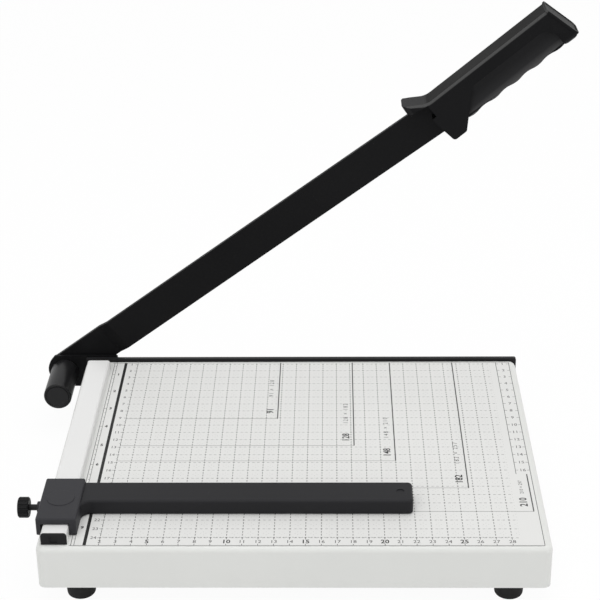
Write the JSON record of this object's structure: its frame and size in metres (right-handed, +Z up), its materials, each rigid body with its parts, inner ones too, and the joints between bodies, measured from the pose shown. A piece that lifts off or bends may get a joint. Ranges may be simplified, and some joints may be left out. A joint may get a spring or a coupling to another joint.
{
  "type": "paper cutter",
  "caption": "Guillotine paper cutter: flat steel bed on rubber feet, fence rail with sliding paper guide, fixed knife and a sprung blade arm with a moulded, guarded handle",
  "frame": {"origin": "middle of the bed's footprint, on the desk under the feet", "axes": "+X along the knife, from the pivot towards the handle; +Y from the front of the bed to the knife; +Z up"},
  "size_m": [0.3877, 0.2648, 0.3166],
  "materials": {
    "bed_enamel": "powder-coated off-white, satin",
    "inner_steel": "zinc-plated",
    "black_steel": "black oxide and black enamel, satin",
    "fence_plastic": "fine moulded grain",
    "rail_enamel": "white enamel on aluminium, satin",
    "handle_plastic": "fine moulded grain, soft sheen",
    "rubber": "matt",
    "brass": "turned",
    "bright_screw": "zinc-plated",
    "knob_plastic": "moulded, soft gloss"
  },
  "bodies": {
    "base": {"bed_tray": "bed_enamel", "foot_plates": "inner_steel", "foot_screws": "bright_screw", "foot_nuts": "inner_steel", "fence_rail": "rail_enamel", "fence_plug_front": "fence_plastic", "fence_plug_rear": "fence_plastic", "fence_screws": "bright_screw", "fence_nuts": "inner_steel", "fixed_knife": "black_steel", "knife_screws": "black_steel", "knife_nuts": "inner_steel", "hinge_bracket": "black_steel", "bracket_screws": "black_steel", "bracket_nuts": "inner_steel", "pivot_bolt": "black_steel", "friction_washer": "brass", "head_washer": "bright_screw", "spring_seat": "inner_steel", "pressure_spring": "inner_steel", "spring_washer": "inner_steel", "lock_nut": "inner_steel", "spring_cup": "black_steel", "rubber_foot_front_left": "rubber", "rubber_foot_back_left": "rubber", "rubber_foot_front_right": "rubber", "rubber_foot_back_right": "rubber"},
    "blade_arm": {"blade_arm": "black_steel", "handle": "handle_plastic", "handle_cap": "handle_plastic", "handle_screws": "bright_screw"},
    "guide": {"guide_head": "fence_plastic", "guide_bar": "fence_plastic", "guide_screws": "bright_screw", "clamp_insert": "brass"},
    "clamp_screw": {"clamp_knob": "knob_plastic", "clamp_stud": "black_steel"}
  },
  "joints": [
    {"name": "arm_hinge", "type": "hinge", "parent": "base", "child": "blade_arm", "pos_m": [-0.18, 0.1331, 0.0318], "axis": [0, -1, 0], "range_deg": [-36.4, 38]},
    {"name": "guide_slide", "type": "slide", "parent": "base", "child": "guide", "axis": [0, 1, 0], "range_m": [-0.009, 0.168]},
    {"name": "clamp_turn", "type": "hinge", "parent": "guide", "child": "clamp_screw", "pos_m": [-0.1634, -0.086, 0.0484], "axis": [-1, 0, 0], "continuous": true}
  ]
}
